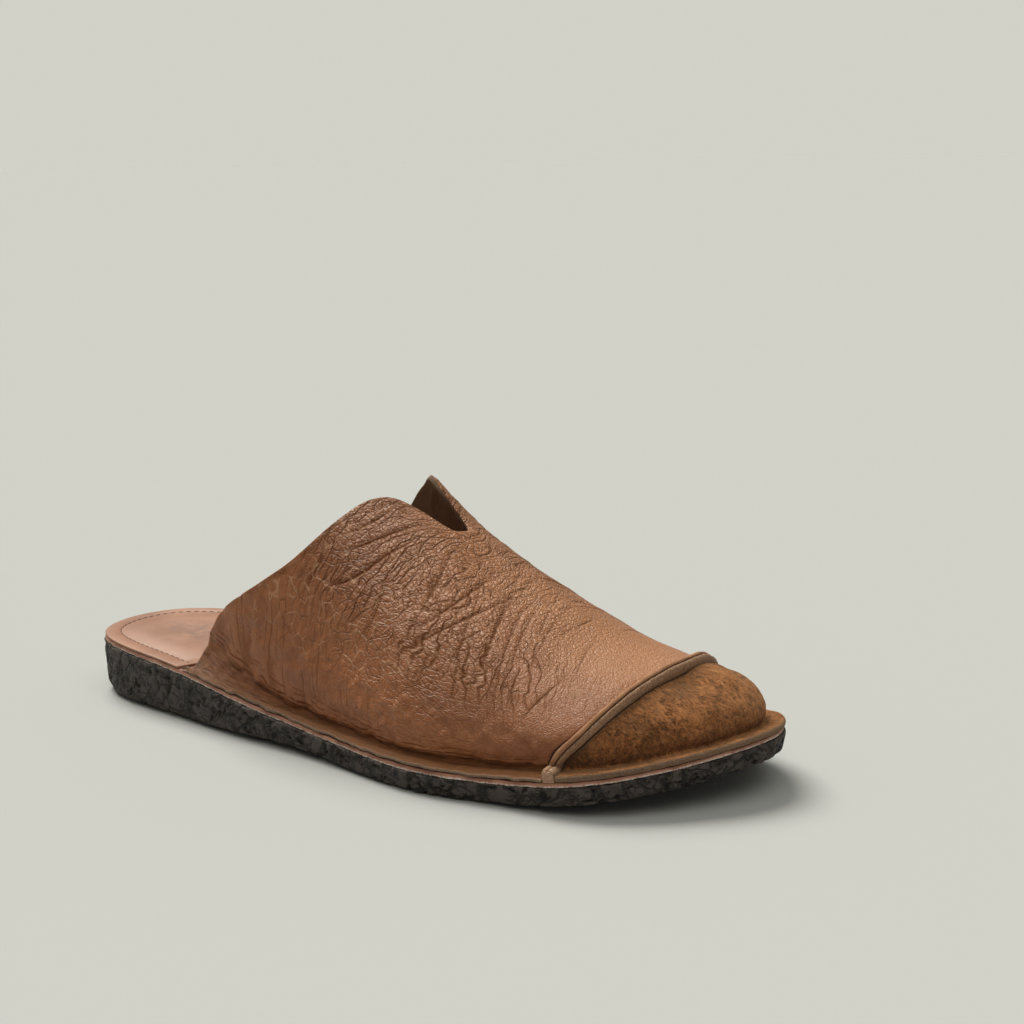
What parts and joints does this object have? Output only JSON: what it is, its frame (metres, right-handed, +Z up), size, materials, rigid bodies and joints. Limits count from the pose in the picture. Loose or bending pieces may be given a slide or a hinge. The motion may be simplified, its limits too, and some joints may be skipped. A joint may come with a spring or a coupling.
{
  "type": "leather mule clog",
  "caption": "Open-heeled leather mule clog for the right foot: grained stitched-down upper with a notch at the instep, suede toe, raised toe seam, crepe-rubber wedge sole.",
  "frame": {"origin": "centre of the whole shoe's bounding box in plan, on the ground under the sole", "axes": "+X from the heel to the toe, +Y to the medial side, +Z up; the shoe stands empty on its sole"},
  "size_m": [0.285, 0.106, 0.0911],
  "materials": {
    "crepe_rubber": "matte crinkled crepe",
    "midsole_leather": "matte cut edge",
    "insole_leather": "smooth, lightly worn",
    "grained_leather": "pebbled grain, satin",
    "suede": "napped suede",
    "edge_leather": "raw cut edge"
  },
  "bodies": {
    "root": {"outsole": "crepe_rubber", "midsole": "midsole_leather", "insole": "insole_leather", "upper": "grained_leather", "toe_cap": "suede", "toe_seam": "edge_leather"}
  },
  "joints": []
}
